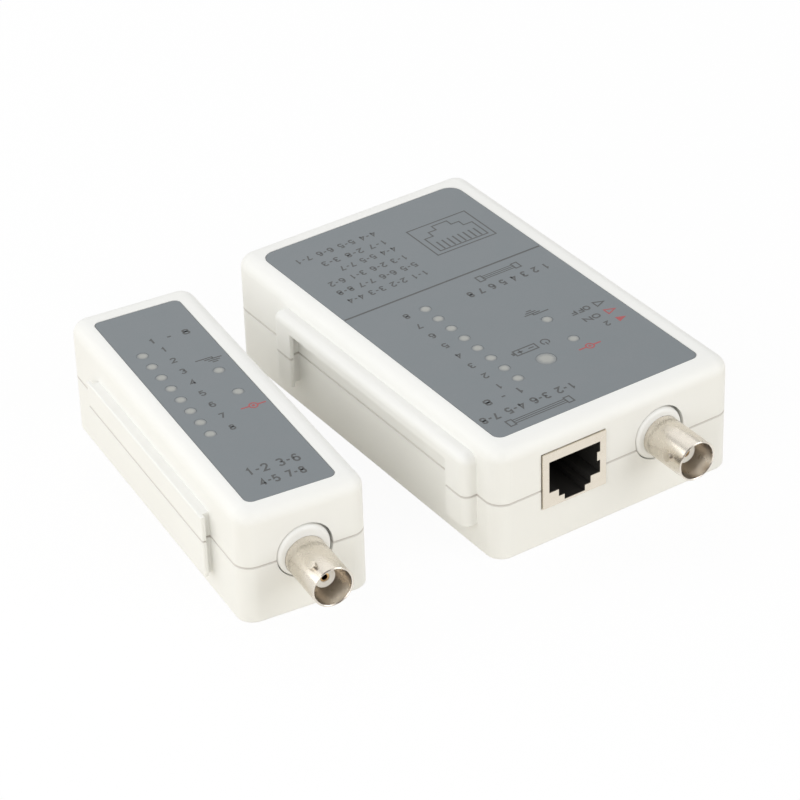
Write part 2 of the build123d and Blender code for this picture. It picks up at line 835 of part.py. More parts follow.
def lead_route(x, runs):
    """Out of the snap, over the bay wall, then down and across to lie on the board."""
    first, spread = runs
    bend_y = snap_edge - first
    foot_y = bend_y - lead_fall
    return [(x, snap_edge, battery_mid), (x, bend_y, battery_mid),
            (x + lead_fall, foot_y, lead_rest + lead_lift),
            (x + lead_fall + lead_lie, foot_y - spread, lead_rest)]


def bend_radii(route):
    """The largest even arc at each corner of a route."""
    radii = []
    for a, b, c in zip(route, route[1:], route[2:]):
        run_in = Vector(*b) - Vector(*a)
        run_out = Vector(*c) - Vector(*b)
        half_angle = radians(run_in.get_angle(run_out) / 2)
        radii.append(lead_bend_share * min(run_in.length, run_out.length) / tan(half_angle))
    print("lead bend radii", [round(radius, 1) for radius in radii])
    return radii


def battery_lead(route):
    """Round wire of straight runs and tangent arcs."""
    path = FilletPolyline(*route, radius=bend_radii(route))
    section = Plane(origin=path @ 0, z_dir=path % 0) * Circle(lead_radius)
    return sweep(section, path=path)


# ---------------------------------------------------------------- board components
def chip(place, legs):
    """Dual in-line chip with its two rows of legs."""
    x, y = place[0], main.front + place[1]
    length = legs * chip_leg_pitch
    base = main.board_top + chip_stand_off
    body = slab(x - chip_body_width / 2, x + chip_body_width / 2, y - length / 2, y + length / 2,
                base, base + chip_height)
    mid = base + chip_height / 2
    for i in range(legs):
        leg_y = y + (i - (legs - 1) / 2) * chip_leg_pitch
        y0, y1 = leg_y - chip_leg_width / 2, leg_y + chip_leg_width / 2
        body += slab(x - chip_row_width / 2, x + chip_row_width / 2, y0, y1, mid, mid + chip_leg_thickness)
        for sign in (-1, 1):
            edge = sign * chip_row_width / 2
            body += slab(x + edge, x + edge - sign * chip_leg_thickness, y0, y1,
                         main.board_top, mid + chip_leg_thickness)
    return body


def axial(x, y, board_top, radius, length, span):
    """Axial component lying along X: body, and one wire bent down to the board at both ends."""
    z = board_top + radius
    half = wire_width / 2
    body = Pos(x, y, z) * Rot(0, 90, 0) * Cylinder(radius, length)
    wire = slab(x - span / 2 - half, x + span / 2 + half, y - half, y + half, z - half, z + half)
    legs = [slab(x + s * span / 2 - half, x + s * span / 2 + half, y - half, y + half, board_top, z)
            for s in (-1, 1)]
    return joined([body, wire] + legs)


def axial_row(unit, x, radius, length, span):
    """One axial component level with each lamp of the row."""
    return group([axial(x, y, unit.board_top, radius, length, span) for _, y in unit.row])


def capacitor():
    x, y = capacitor_place[0], main.front + capacitor_place[1]
    return rod(x, y, main.board_top, main.board_top + capacitor_height, capacitor_radius)


# ---------------------------------------------------------------- screws
def case_screw(x, y):
    """Self-tapping case screw, driven up from below, with a cross recess in its head."""
    head_bottom = screw_head_seat - screw_head_height
    head = rod(x, y, head_bottom, screw_head_seat, screw_head_radius)
    shank = rod(x, y, screw_head_seat, post_joint() + screw_reach, screw_radius)
    screw = head + shank
    half, reach = screw_slot_width / 2, screw_slot_length / 2
    bottom, top = head_bottom - 1, head_bottom + screw_slot_depth
    screw -= slab(x - half, x + half, y - reach, y + reach, bottom, top)
    return screw - slab(x - reach, x + reach, y - half, y + half, bottom, top)


def case_screws(unit):
    return group([case_screw(x, y) for x, y in unit.screws])


# ---------------------------------------------------------------- assembly
def jack_hole(unit, x):
    return slab(*jack_box(unit, x, jack_hole_clearance))


def unit_nodes(prefix, unit, coax, lamp_order):
    """Nodes that both units have; coax is its x, reach, hole offset and lug angle."""
    coax_x, reach, hole_offset, lug_angle = coax
    place = coax_place(unit, coax_x)
    nodes = {
        prefix + "_label": label(unit),
        prefix + "_lamp_leads": lamp_leads(unit),
        prefix + "_coax_housing": place * coax_housing(unit, hole_offset),
        prefix + "_coax_shell": place * coax_shell(reach, lug_angle),
        prefix + "_coax_insulator": place * coax_insulator(reach),
        prefix + "_coax_contact": place * coax_contact(reach),
        prefix + "_case_screws": case_screws(unit),
    }
    for number, (x, y) in zip(lamp_order, unit.row):
        nodes[f"{prefix}_pin_lamp_{number}"] = lamp(x, y, lamp_diameter)
    for name, (x, y, size) in unit.lamps.items():
        nodes[f"{prefix}_{name}_lamp"] = lamp(x, y, size)
    return nodes


def main_nodes():
    blank = case_blank(main) + dock_frame()
    cuts = [jack_hole(main, main_jack_x), coax_hole(main, main_coax_x, main_coax_hole), switch_slot()]
    rails = within_cavity(main, door_rails() + bay_wall(), floor_thickness / 4, case_height)
    coax = main_coax_x, main_coax_reach, main_coax_hole, main_lug_angle
    nodes = unit_nodes("main", main, coax, range(1, lamp_count + 1))
    nodes["main_bottom_shell"] = bottom_shell(main, blank, cuts + [door_opening()], [rails])
    nodes["main_top_shell"] = top_shell(main, blank, cuts, [hold_ribs()])
    nodes["main_board"] = board(main, main_board_far)
    nodes["main_jack_shield"] = jack_shield(main, main_jack_x)
    nodes["main_jack_housing"] = jack_housing(main, main_jack_x)
    nodes["main_jack_contacts"] = jack_contacts(main, main_jack_x)
    nodes["switch_body"] = switch_body()
    nodes["switch_knob"] = switch_knob()
    nodes["battery"] = battery()
    nodes["battery_snap"] = battery_snap()
    nodes["battery_lead_red"] = battery_lead(lead_route(lead_red_x, lead_red_runs))
    nodes["battery_lead_black"] = battery_lead(lead_route(lead_black_x, lead_black_runs))
    nodes["battery_door"] = battery_door()
    nodes["counter_chip"] = chip(counter_place, counter_legs)
    nodes["timer_chip"] = chip(timer_place, timer_legs)
    nodes["main_capacitor"] = capacitor()
    nodes["main_resistors"] = axial_row(main, resistor_x, resistor_radius, resistor_length, resistor_span)
    return nodes


def remote_nodes():
    blank = case_blank(remote) + dock_rail()
    cuts = [half_turn(jack_hole(remote, remote_jack_x)),
            coax_hole(remote, remote_coax_x, remote_coax_hole)]
    coax = remote_coax_x, remote_coax_reach, remote_coax_hole, remote_lug_angle
    nodes = unit_nodes("remote", remote, coax, range(lamp_count, 0, -1))
    nodes["remote_bottom_shell"] = bottom_shell(remote, blank, cuts)
    nodes["remote_top_shell"] = top_shell(remote, blank, cuts)
    nodes["remote_board"] = board(remote, remote.far - wall - board_gap)
    nodes["remote_jack_shield"] = half_turn(jack_shield(remote, remote_jack_x))
    nodes["remote_jack_housing"] = half_turn(jack_housing(remote, remote_jack_x))
    nodes["remote_jack_contacts"] = half_turn(jack_contacts(remote, remote_jack_x))
    nodes["remote_diodes"] = axial_row(remote, diode_x, diode_radius, diode_length, diode_span)
    place = Pos(remote_x, remote_y, 0) * Rot(0, 0, remote_turn)
    return {name: place * shape for name, shape in nodes.items()}


os.makedirs("parts", exist_ok=True)
for node_name, node_shape in {**main_nodes(), **remote_nodes()}.items():
    export_step(node_shape, f"parts/{node_name}.step")
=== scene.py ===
import bpy
import json
import math
import numpy as np
from mathutils import Matrix, Vector


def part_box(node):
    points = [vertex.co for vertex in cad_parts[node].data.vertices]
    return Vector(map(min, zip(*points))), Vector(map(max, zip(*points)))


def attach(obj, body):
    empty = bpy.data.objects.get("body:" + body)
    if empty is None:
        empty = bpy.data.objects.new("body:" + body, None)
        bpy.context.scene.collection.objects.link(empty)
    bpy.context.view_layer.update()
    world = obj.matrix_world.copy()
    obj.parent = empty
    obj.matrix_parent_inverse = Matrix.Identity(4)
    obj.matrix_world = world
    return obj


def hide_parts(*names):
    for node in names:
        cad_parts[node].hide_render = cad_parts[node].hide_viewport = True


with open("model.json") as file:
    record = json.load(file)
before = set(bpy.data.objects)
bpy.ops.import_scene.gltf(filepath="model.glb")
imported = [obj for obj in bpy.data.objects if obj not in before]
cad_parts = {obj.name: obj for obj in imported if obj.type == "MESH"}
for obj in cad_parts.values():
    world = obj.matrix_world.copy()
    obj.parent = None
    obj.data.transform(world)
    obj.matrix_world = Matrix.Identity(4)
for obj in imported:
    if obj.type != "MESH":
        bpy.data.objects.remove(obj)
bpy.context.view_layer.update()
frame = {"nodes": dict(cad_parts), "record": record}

# Finishes, printed legends, studio and camera for a two-piece network cable tester.
# Places on the panels are written in millimetres on the plan of each unit and turned to metres by MM.

MM = 0.001
seam_height = 14.35 * MM                       # where the case halves meet
seam_shade = (0.15 * MM, 0.4 * MM)             # how far from it its shade is full, and where the shade ends
seam_dust_and_painted_shade = 0.42                               # share of the dark seam colour where it is full: painted shade of the groove, with a little dust
nodes = frame["nodes"]


# ---------------------------------------------------------------- materials
def tint(code):
    """sRGB hex colour as linear RGBA."""
    channels = [int(code[i:i + 2], 16) / 255 for i in (0, 2, 4)]
    linear = [c / 12.92 if c <= 0.04045 else ((c + 0.055) / 1.055) ** 2.4 for c in channels]
    return (*linear, 1.0)


def add(tree, kind, inputs=None, **settings):
    """One shader node: settings are its options, and an input is a value or another node's output."""
    made = tree.nodes.new("ShaderNode" + kind)
    for name, value in settings.items():
        setattr(made, name, value)
    for key, value in (inputs or {}).items():
        if isinstance(value, bpy.types.NodeSocket):
            tree.links.new(value, made.inputs[key])
        else:
            made.inputs[key].default_value = value
    return made


def material(name, color, **sockets):
    """Material with one Principled shader; sockets are plain values on it."""
    made = bpy.data.materials.new(name)
    made.use_nodes = True
    tree = made.node_tree
    tree.nodes.clear()
    shader = add(tree, "BsdfPrincipled", {"Base Color": tint(color), **sockets})
    add(tree, "OutputMaterial", {"Surface": shader.outputs["BSDF"]})
    return made, tree, shader


def grain(tree, size, detail=2.0):
    """Noise on Object coordinates whose features are about size metres across."""
    place = add(tree, "TexCoord")
    return add(tree, "TexNoise", {"Vector": place.outputs["Object"], "Scale": 1 / size, "Detail": detail})


def vary_color(tree, shader, noise, low, high):
    """Base colour that drifts between two near tones with a noise."""
    blend = add(tree, "Mix", {0: noise.outputs[0], 6: tint(low), 7: tint(high)}, data_type="RGBA")
    tree.links.new(blend.outputs[2], shader.inputs["Base Color"])


noise_range = (0.3, 0.7)                       # what a noise mostly keeps to


def drift(tree, noise, low, high):
    """Value that drifts between two limits with a noise."""
    spread = add(tree, "MapRange", {"Value": noise.outputs[0], "From Min": noise_range[0],
                                    "From Max": noise_range[1], "To Min": low, "To Max": high})
    return spread.outputs["Result"]


def vary_roughness(tree, shader, noise, low, high):
    """Roughness that drifts between two values with a noise."""
    tree.links.new(drift(tree, noise, low, high), shader.inputs["Roughness"])


def relief(tree, shader, height, depth):
    """Bump of a real depth in metres from a height between 0 and 1."""
    bump = add(tree, "Bump", {"Height": height, "Distance": depth, "Strength": 1.0})
    tree.links.new(bump.outputs["Normal"], shader.inputs["Normal"])


def case_abs():
    """Warm white ABS, injection moulded in a spark-eroded tool: a fine even grain and a soft satin sheen. The
    joint between the halves, a level line at seam_height, is painted darker: painted shade of the groove,
    with a little dust."""
    made, tree, shader = material("case_abs_moulded", "F4F4F1", Roughness=0.46, IOR=1.53)
    clean = add(tree, "Mix", {0: grain(tree, 18 * MM).outputs[0], 6: tint("F2F2EE"), 7: tint("F6F6F3")},
                data_type="RGBA")
    place = add(tree, "TexCoord")
    level = add(tree, "SeparateXYZ", {0: place.outputs["Object"]})
    above = add(tree, "Math", {0: level.outputs["Z"], 1: seam_height}, operation="SUBTRACT")
    apart = add(tree, "Math", {0: above.outputs[0]}, operation="ABSOLUTE")
    near = add(tree, "MapRange", {"Value": apart.outputs[0], "From Min": seam_shade[0],
                                  "From Max": seam_shade[1], "To Min": seam_dust_and_painted_shade, "To Max": 0.0})
    # painted shade: a dark brown band along the joint stands in for the shadow in the groove between the
    # halves, with a little dust
    shaded = add(tree, "Mix", {0: near.outputs["Result"], 6: clean.outputs[2], 7: tint("8E7F70")},
                 data_type="RGBA")
    tree.links.new(shaded.outputs[2], shader.inputs["Base Color"])
    fine = grain(tree, 0.28 * MM, 3.0)
    vary_roughness(tree, shader, fine, 0.42, 0.52)
    relief(tree, shader, fine.outputs[0], 0.006 * MM)
    return made


def label_film():
    """Grey screen-printed polyester overlay with a fine matt grain."""
    made, tree, shader = material("label_polyester_printed", "757C80", Roughness=0.42, IOR=1.6)
    vary_color(tree, shader, grain(tree, 6 * MM), "737B7F", "777D81")
    fine = grain(tree, 0.22 * MM, 2.0)
    vary_roughness(tree, shader, fine, 0.38, 0.48)
    relief(tree, shader, fine.outputs[0], 0.003 * MM)
    return made


def legend_ink(name, color):
    """Screen-printed ink, a little glossier than the film under it."""
    made, tree, shader = material(name, color, Roughness=0.35, IOR=1.5)
    vary_roughness(tree, shader, grain(tree, 0.3 * MM), 0.3, 0.42)
    return made


# Each barrel's axis as a point, in millimetres, and a direction. The bore's painted light and extra satin go
# from the axis to the
#  first distance of coax_bore, and the outside's finish starts at the second, still in the metal of the
#  barrel's tip.
coax_axes = (((12.15, 0, 16.0), (0, 1, 0)), ((-74.962, -53.873, 13.7), (0.115631, 0.993292, 0)))
coax_bore = (4.4, 4.5)
coax_bore_satin = 0.03                         # roughness that the bore has over the outside


def axis_distance(tree, place, point, axis):
    """Distance from a line: the length of the cross product of its direction and the way from its point."""
    apart = add(tree, "VectorMath", {0: place, 1: tuple(c * MM for c in point)}, operation="SUBTRACT")
    across = add(tree, "VectorMath", {0: apart.outputs["Vector"], 1: axis}, operation="CROSS_PRODUCT")
    return add(tree, "VectorMath", {0: across.outputs["Vector"]}, operation="LENGTH").outputs["Value"]


def nickel_turned():
    """Nickel-plated brass, turned on a lathe: bright, slightly warm, with fine rings round the axis. The bore
    is reamed and a little more satin, and its colour is painted paler: painted light in the hole."""
    made, tree, shader = material("coax_nickel_turned", "E3DCD0", Metallic=1.0, Roughness=0.27)
    place = add(tree, "TexCoord").outputs["Object"]
    rings = add(tree, "TexWave", {"Vector": place, "Scale": 1 / (0.9 * MM), "Distortion": 0.4, "Detail": 2.0},
                bands_direction="Y")
    relief(tree, shader, rings.outputs["Fac"], 0.0012 * MM)
    main_reach, remote_reach = [axis_distance(tree, place, point, axis) for point, axis in coax_axes]
    nearest = add(tree, "Math", {0: main_reach, 1: remote_reach}, operation="MINIMUM")
    bore_painted_light_and_satin = add(tree, "MapRange", {"Value": nearest.outputs[0], "From Min": coax_bore[0] * MM,
                                    "From Max": coax_bore[1] * MM, "To Min": 1.0, "To Max": 0.0})
    # painted light: the bore's colour is made paler to stand in for light that reaches into the hole
    tone = add(tree, "Mix", {0: bore_painted_light_and_satin.outputs["Result"], 6: tint("E3DCD0"), 7: tint("FBF4EA")},
               data_type="RGBA")
    tree.links.new(tone.outputs[2], shader.inputs["Base Color"])
    turned = drift(tree, grain(tree, 1.6 * MM), 0.23, 0.31)
    satin = add(tree, "Math", {0: bore_painted_light_and_satin.outputs["Result"], 1: coax_bore_satin, 2: turned},
                operation="MULTIPLY_ADD")
    tree.links.new(satin.outputs[0], shader.inputs["Roughness"])
    return made


def tinned_sheet():
    """Tin-plated steel sheet, folded: satin, faintly mottled."""
    made, tree, shader = material("jack_tinned_sheet", "E6DECF", Metallic=1.0, Roughness=0.3)
    mottle = grain(tree, 2.2 * MM, 3.0)
    vary_color(tree, shader, mottle, "E1D8C8", "EBE3D5")
    vary_roughness(tree, shader, grain(tree, 0.7 * MM), 0.26, 0.38)
    relief(tree, shader, mottle.outputs[0], 0.01 * MM)
    return made


def gold_flash():
    """Gold flash over nickel on spring wire."""
    made, tree, shader = material("contact_gold_flash", "D6B483", Metallic=1.0, Roughness=0.22)
    vary_roughness(tree, shader, grain(tree, 0.5 * MM), 0.18, 0.3)
    return made


def moulded(name, color, low, high, size=0.3):
    """Moulded plastic of one colour, with a fine grain. Its size is in millimetres."""
    made, tree, shader = material(name, color, IOR=1.5, Roughness=(low + high) / 2)
    fine = grain(tree, size * MM)
    vary_roughness(tree, shader, fine, low, high)
    relief(tree, shader, fine.outputs[0], 0.004 * MM)
    return made


lamp_cloud = 0.4                               # how much a noise adds to the distance from the lens's middle
lamp_shade = (0.6, 1.2)                        # that sum where the lens begins to dim, and is dimmest


def lamp_epoxy():
    """Diffusing epoxy of an unlit indicator lamp: milky, slightly warm grey, with a soft gloss. It is palest
    in the middle of the dome and darker towards the rim, with a noise."""
    made, tree, shader = material("lamp_epoxy_diffusing", "9C9D99", Roughness=0.3, IOR=1.55)
    rim = add(tree, "Attribute", attribute_name="rim")
    cloud = add(tree, "Math", {0: grain(tree, 0.9 * MM).outputs[0], 1: lamp_cloud}, operation="MULTIPLY")
    dim = add(tree, "Math", {0: rim.outputs["Fac"], 1: cloud.outputs[0]}, operation="ADD")
    spread = add(tree, "MapRange", {"Value": dim.outputs[0], "From Min": lamp_shade[0],
                                    "From Max": lamp_shade[1]}, interpolation_type="SMOOTHSTEP")
    blend = add(tree, "Mix", {0: spread.outputs["Result"], 6: tint("A3A49F"), 7: tint("808485")},
                data_type="RGBA")
    tree.links.new(blend.outputs[2], shader.inputs["Base Color"])
    return made


def plated_metal(name, color, low, high):
    """Plated steel, satin."""
    made, tree, shader = material(name, color, Metallic=1.0, Roughness=(low + high) / 2)
    vary_roughness(tree, shader, grain(tree, 0.6 * MM), low, high)
    return made


def solder_mask():
    """Green solder mask over glass-fibre board: glossy, with the weave just showing."""
    made, tree, shader = material("board_solder_mask", "1C5A30", Roughness=0.3, IOR=1.5)
    weave = grain(tree, 0.8 * MM, 1.0)
    vary_color(tree, shader, weave, "1A5530", "216437")
    relief(tree, shader, weave.outputs[0], 0.004 * MM)
    return made


band_edge = (0.72, 0.78)                       # height of the wave where a band begins, and where it is full


def banded(name, base, bands, spacing):
    """Lacquered axial component with colour bands across its length, a spacing in millimetres apart."""
    made, tree, shader = material(name, base, Roughness=0.3, IOR=1.5)
    place = add(tree, "TexCoord")
    stripes = add(tree, "TexWave", {"Vector": place.outputs["Object"], "Scale": 1 / (spacing * MM) / 2},
                  bands_direction="X")
    edge = add(tree, "MapRange", {"Value": stripes.outputs["Fac"], "From Min": band_edge[0],
                                  "From Max": band_edge[1]})
    blend = add(tree, "Mix", {0: edge.outputs["Result"], 6: tint(base), 7: tint(bands)}, data_type="RGBA")
    tree.links.new(blend.outputs[2], shader.inputs["Base Color"])
    return made


finishes = {
    "case_plastic": case_abs(),
    "label_print": label_film(),
    "circuit_board": solder_mask(),
    "jack_plastic": moulded("jack_black_thermoplastic", "2C2B29", 0.4, 0.5),
    "jack_metal": tinned_sheet(),
    "gold_contact": gold_flash(),
    "nickel": nickel_turned(),
    "collar_plastic": moulded("collar_white_acetal", "F3F3F0", 0.32, 0.42),
    "insulator_plastic": moulded("insulator_white_ptfe", "F4F2EC", 0.4, 0.5),
    "lamp_lens": lamp_epoxy(),
    "tinned_wire": plated_metal("lead_tinned_wire", "C8C8C6", 0.25, 0.35),
    "screw_steel": plated_metal("screw_zinc_plated", "B4B6B8", 0.28, 0.4),
    "resistor_body": banded("resistor_lacquered", "C9AD7C", "6B3A1E", 0.9),
    "diode_body": banded("diode_glass_bead", "B5622F", "1E1A18", 2.2),
    "capacitor_sleeve": moulded("capacitor_shrink_sleeve", "1B2140", 0.25, 0.35),
    "chip_plastic": moulded("chip_moulded_epoxy", "202020", 0.5, 0.62, 0.15),
    "switch_metal": plated_metal("switch_stamped_case", "B7B7B4", 0.3, 0.42),
    "switch_plastic": moulded("switch_black_nylon", "171717", 0.4, 0.52),
    "battery_case": plated_metal("battery_printed_jacket", "3A3B3F", 0.3, 0.4),
    "snap_plastic": moulded("snap_black_vinyl", "1A1A1B", 0.45, 0.55),
    "wire_red": moulded("lead_red_pvc", "A32018", 0.4, 0.5),
    "wire_black": moulded("lead_black_pvc", "141414", 0.4, 0.5),
}


def dress_nodes():
    """Gives every CAD node the finish of its slot."""
    slots = {part["node"]: part["material_slot"] for part in frame["record"]["subparts"]}
    for name, obj in nodes.items():
        obj.data.materials.clear()
        obj.data.materials.append(finishes[slots[name]])


dress_nodes()

main_place = (0, 0, 0)                         # x and y in millimetres, and turn in degrees
remote_place = (-67.9, 4.2, -6.64)


def to_frame(points, place):
    """Plan points of a unit, turned and moved to the unit's place, and a third column kept, all in metres."""
    x, y, turn = place
    angle = math.radians(turn)
    spin = np.array([[math.cos(angle), math.sin(angle)], [-math.sin(angle), math.cos(angle)]])
    return np.column_stack([points[:, :2] @ spin + (x, y), points[:, 2]]) * MM


def piece(name, vertices, faces, finish):
    """New object of one finish, with its place in its mesh, in metres."""
    mesh = bpy.data.meshes.new(name)
    mesh.from_pydata(vertices, [], faces)
    mesh.materials.append(finish)
    obj = bpy.data.objects.new(name, mesh)
    bpy.context.scene.collection.objects.link(obj)
    return obj


# ---------------------------------------------------------------- indicator lamps
lamp_shoulder = 27.95                          # underside of the printed label, less its play
lamp_dome = (28.41, 28.46)                     # rim and crown of the lens in the label's window
lamp_crown_play = 0.02                         # between the crown and the top of the lamp's height
lamp_window_play = 0.2                         # between the window's edge and the lens in it
lamp_flange = (0.4, 0.8)                       # how far the foot's flange stands out, and its thickness
lamp_hub = 0.02                                # radius of the ring that closes the foot
lamp_pole = 0.02                               # the dome's last ring, in radians from the axis
lamp_dome_rings = 9
lamp_turns = 28                                # points in a ring

lamp_pitch = 5.08                              # between numbered lamps: two steps of a standard board
main_row = (-10.7, -35.88)                     # x of the numbered lamps, and y one pitch before the first
remote_row = (-6.9, 26.54)
small_lamp = (1.5, 5.0)                        # radius and height
large_lamp = (2.5, 7.4)


def lamp_lens(node, body, place, x, y, radius, height):
    """Lamp turned about x, y. Ring i of the grid is a circle of profile radius r[i] at height z[i]. The
    flange's rings end flat at +radius: x = min(r cos a, radius). The dome in a window of radius w is
    z = rim + (crown - rim) sqrt(1 - (r / w)^2)."""
    rim, crown = lamp_dome
    base = crown - lamp_crown_play - height
    ledge = base + lamp_flange[1]
    flange = radius + lamp_flange[0]
    window = radius - lamp_window_play
    dome = np.linspace(math.pi / 2, lamp_pole, lamp_dome_rings)
    body_r = [lamp_hub, flange, flange, radius, radius, window]
    body_z = [base, base, ledge, ledge, lamp_shoulder, lamp_shoulder]
    r = np.concatenate([body_r, window * np.sin(dome)])
    z = np.concatenate([body_z, rim + (crown - rim) * np.cos(dome)])
    angle = np.linspace(0, 2 * math.pi, lamp_turns, endpoint=False)
    across = x + np.minimum(r[:, None] * np.cos(angle), radius)
    along_y = y + r[:, None] * np.sin(angle)
    level = np.broadcast_to(z[:, None], across.shape)
    vertices = to_frame(np.stack([across, along_y, level], 2).reshape(-1, 3), place)
    ring = np.arange(len(r) - 1)[:, None] * lamp_turns
    here = np.arange(lamp_turns)
    there = (here + 1) % lamp_turns
    faces = np.stack([ring + here, ring + there, ring + lamp_turns + there, ring + lamp_turns + here], 2)
    last = (len(r) - 1) * lamp_turns
    faces = faces.reshape(-1, 4).tolist() + [here[::-1].tolist(), (last + here).tolist()]
    obj = piece(node + "_lens", vertices, faces, finishes["lamp_lens"])
    outward = obj.data.attributes.new("rim", "FLOAT", "POINT")
    outward.data.foreach_set("value", np.repeat(np.clip(r / window, 0, 1), lamp_turns))
    domed = [len(face) == 4 and min(face) >= len(body_r) * lamp_turns for face in faces]
    obj.data.polygons.foreach_set("use_smooth", domed)
    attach(obj, body)
    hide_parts(node)


for pin in range(1, 9):
    lamp_lens(f"main_pin_lamp_{pin}", "main_tester", main_place,
              main_row[0], main_row[1] + lamp_pitch * pin, *small_lamp)
    lamp_lens(f"remote_pin_lamp_{pin}", "remote_unit", remote_place,
              remote_row[0], remote_row[1] - lamp_pitch * pin, *small_lamp)
lamp_lens("main_power_lamp", "main_tester", main_place, -1.1, -28.2, *large_lamp)
lamp_lens("main_ground_lamp", "main_tester", main_place, 8.7, -15.2, *small_lamp)
lamp_lens("main_coax_lamp", "main_tester", main_place, 8.7, -25.1, *small_lamp)
lamp_lens("remote_ground_lamp", "remote_unit", remote_place, 5.4, 7.7, *small_lamp)
lamp_lens("remote_coax_lamp", "remote_unit", remote_place, 5.4, -2.1, *small_lamp)


# ---------------------------------------------------------------- printed legends
# Every shape is a pair of vertices and faces: x and y in millimetres on its unit's plan, and a level of 0 at
# the ink's foot and 1 at its top. Flip is -1 where the printing reads from the battery end, and 1 elsewhere.
ink_top = 0.015                                # over the label's face, in millimetres
ink_foot = -0.02
stroke = 0.34                                  # usual line width of the signs, in millimetres
plain = 0.38                                   # of the figures
bold = 0.46                                    # of the headings
thin = 0.26                                    # of the wires in a sign
stout = 0.42                                   # of the cable ends and contacts in a sign
rule = 0.5                                     # of the line across the panel
mitre_limit = 0.4                              # least cosine by which a corner's mitre is widened


def along(path, width=stroke, closed=False):
    """Flat ink line. At each point of the path stands an upright section, width across the path's mitre and
    one level tall, and the sections are joined in order; an open line has two end faces."""
    points = np.asarray(path, float)
    if closed:
        ahead = np.roll(points, -1, 0) - points
        behind = points - np.roll(points, 1, 0)
    else:
        steps = np.diff(points, axis=0)
        ahead = np.vstack([steps, steps[-1:]])
        behind = np.vstack([steps[:1], steps])
    ahead = ahead / np.linalg.norm(ahead, axis=1, keepdims=True)
    behind = behind / np.linalg.norm(behind, axis=1, keepdims=True)
    mitre = ahead + behind
    mitre = mitre / np.linalg.norm(mitre, axis=1, keepdims=True)
    reach = width / 2 / np.clip((mitre * ahead).sum(1, keepdims=True), mitre_limit, 1)
    across = np.stack([-mitre[:, 1], mitre[:, 0]], 1) * reach
    section = np.stack([points + across, points - across, points - across, points + across], 1)
    level = np.broadcast_to(np.array([1.0, 1.0, 0.0, 0.0])[None, :, None], section.shape[:2] + (1,))
    vertices = np.concatenate([section, level], 2).reshape(-1, 3)
    count = len(points)
    here = np.arange(count if closed else count - 1)[:, None] * 4
    there = (here + 4) % (4 * count)
    side = np.arange(4)
    after = (side + 1) % 4
    faces = np.stack([here + after, there + after, there + side, here + side], 2).reshape(-1, 4).tolist()
    if not closed:
        last = 4 * count - 4
        faces += [[3, 2, 1, 0], [last, last + 1, last + 2, last + 3]]
    return vertices, faces


def patch(outline):
    """Filled ink patch: the outline, counter-clockwise, as a flat prism one level tall."""
    points = np.asarray(outline, float)
    count = len(points)
    top, foot = np.column_stack([points, np.ones(count)]), np.column_stack([points, np.zeros(count)])
    vertices = np.vstack([top, foot])
    here = np.arange(count)
    there = (here + 1) % count
    walls = np.stack([here, here + count, there + count, there], 1).tolist()
    return vertices, [here.tolist(), (here[::-1] + count).tolist()] + walls


def arc(x, y, radius, start=0.0, sweep=360.0, points=29):
    """Points of an arc, counter-clockwise, in degrees; a full turn leaves out its last point."""
    angle = np.radians(start + np.linspace(0, sweep, points))[:points - (sweep == 360.0)]
    return np.column_stack([x + radius * np.cos(angle), y + radius * np.sin(angle)])


def rectangle(x0, x1, y0, y1):
    """Corners of a rectangle, counter-clockwise."""
    return np.array([(x0, y0), (x1, y0), (x1, y1), (x0, y1)], float)


figure_width, figure_height = 4, 6             # grid on which each character is drawn
figure_pitch = 5.5                             # from one character to the next, in steps of that grid
figures = {
    "1": [[(0.9, 4.7), (2.2, 6), (2.2, 0)]],
    "2": [[(0.1, 4.6), (0.6, 5.6), (1.6, 6), (2.7, 6), (3.6, 5.4), (3.8, 4.4), (3.4, 3.4), (0, 0), (4, 0)]],
    "3": [[(0.2, 5.3), (1.2, 6), (2.6, 6), (3.6, 5.3), (3.6, 4), (2.6, 3.2), (1.6, 3.2)],
          [(2.6, 3.2), (3.8, 2.3), (3.8, 0.9), (2.7, 0), (1.2, 0), (0, 0.8)]],
    "4": [[(3.9, 1.7), (0, 1.7), (2.9, 6), (2.9, 0)]],
    "5": [[(3.6, 6), (0.6, 6), (0.3, 3.2), (1.4, 3.7), (2.7, 3.6), (3.8, 2.7), (3.8, 1.1), (2.8, 0), (1.2, 0),
           (0, 0.8)]],
    "6": [[(3.5, 5.3), (2.6, 6), (1.5, 6), (0.4, 5), (0, 3.4), (0, 1.5), (0.7, 0.4), (1.6, 0), (2.6, 0),
           (3.6, 0.7), (3.9, 1.8), (3.5, 3), (2.5, 3.6), (1.4, 3.6), (0.2, 2.7)]],
    "7": [[(0, 6), (3.9, 6), (1.4, 0)]],
    "8": [[(2, 3.2), (3.1, 3.5), (3.6, 4.4), (3.3, 5.5), (2, 6), (0.7, 5.5), (0.4, 4.4), (0.9, 3.5), (2, 3.2),
           (3.5, 2.7), (3.9, 1.6), (3.4, 0.4), (2, 0), (0.6, 0.4), (0.1, 1.6), (0.5, 2.7), (2, 3.2)]],
    "O": [[(2, 6), (0.6, 5.4), (0, 4), (0, 2), (0.6, 0.6), (2, 0), (3.4, 0.6), (4, 2), (4, 4), (3.4, 5.4),
           (2, 6)]],
    "N": [[(0, 0), (0, 6), (4, 0), (4, 6)]],
    "F": [[(0, 0), (0, 6), (3.8, 6)], [(0, 3.2), (3, 3.2)]],
    "-": [[(0.8, 3), (3.2, 3)]],
    " ": [],
}


